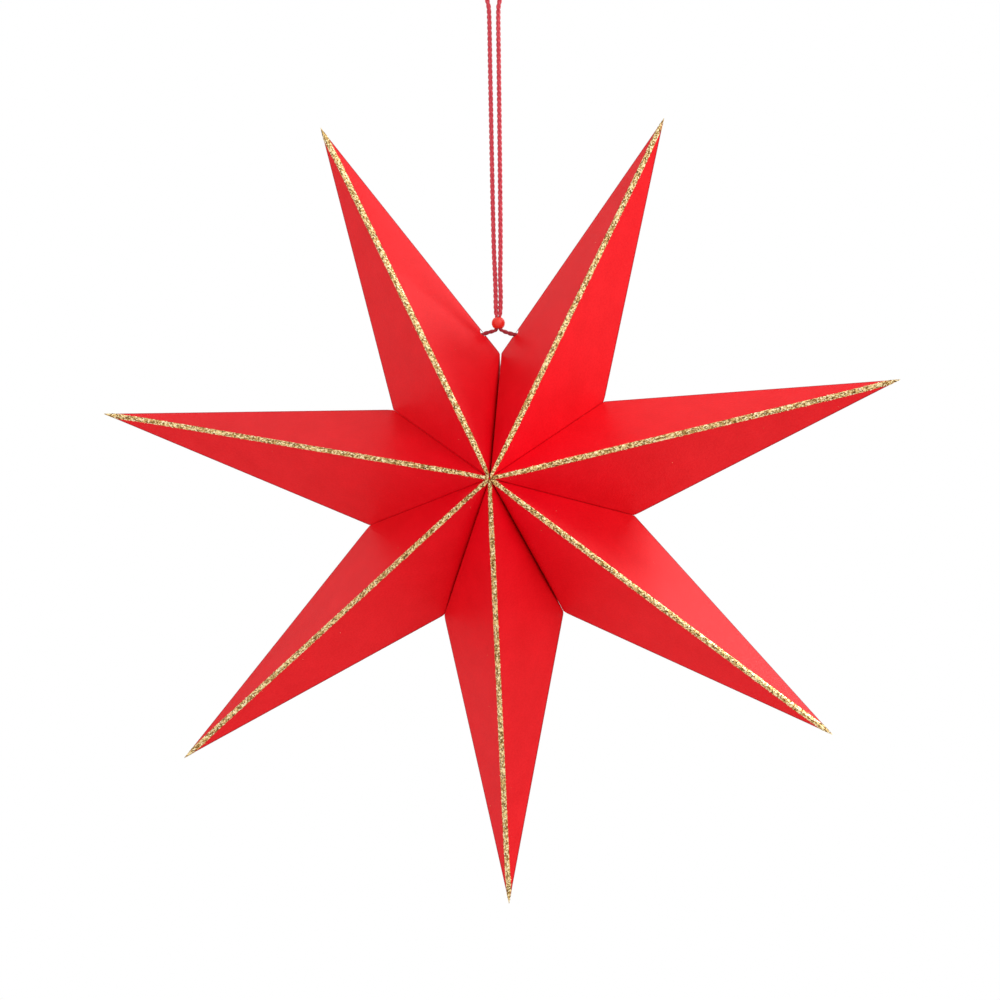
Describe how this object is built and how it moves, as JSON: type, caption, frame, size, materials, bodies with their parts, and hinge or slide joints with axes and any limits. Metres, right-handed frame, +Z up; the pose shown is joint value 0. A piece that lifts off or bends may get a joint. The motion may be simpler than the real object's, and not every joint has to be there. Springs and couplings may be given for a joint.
{
  "type": "hanging paper star",
  "caption": "Star of folded card points with glitter lines along its ridges, hung on a doubled cord that a bead closes over its open valley.",
  "frame": {"origin": "inside top of the hanging loop, where the hook bears", "axes": "+Z up along the taut cord, +Y along the star's own axis from front to back"},
  "size_m": [0.6062, 0.1608, 0.7142],
  "materials": {
    "card": "matt red card",
    "glitter": "gold glitter in clear glue",
    "cord": "twisted crimson cord",
    "bead": "painted red"
  },
  "bodies": {
    "star": {"point_1": "card", "point_2": "card", "point_3": "card", "point_4": "card", "point_5": "card", "point_6": "card", "point_7": "card", "glitter_1": "glitter", "glitter_2": "glitter", "glitter_3": "glitter", "glitter_4": "glitter", "glitter_5": "glitter", "glitter_6": "glitter", "glitter_7": "glitter", "cord": "cord", "knot_left": "cord", "knot_right": "cord"},
    "bead": {"bead": "bead"}
  },
  "joints": [
    {"name": "bead_slide", "type": "slide", "parent": "star", "child": "bead", "axis": [0, 0, 1], "range_m": [0, 0.03], "deforming": ["cord"]}
  ]
}
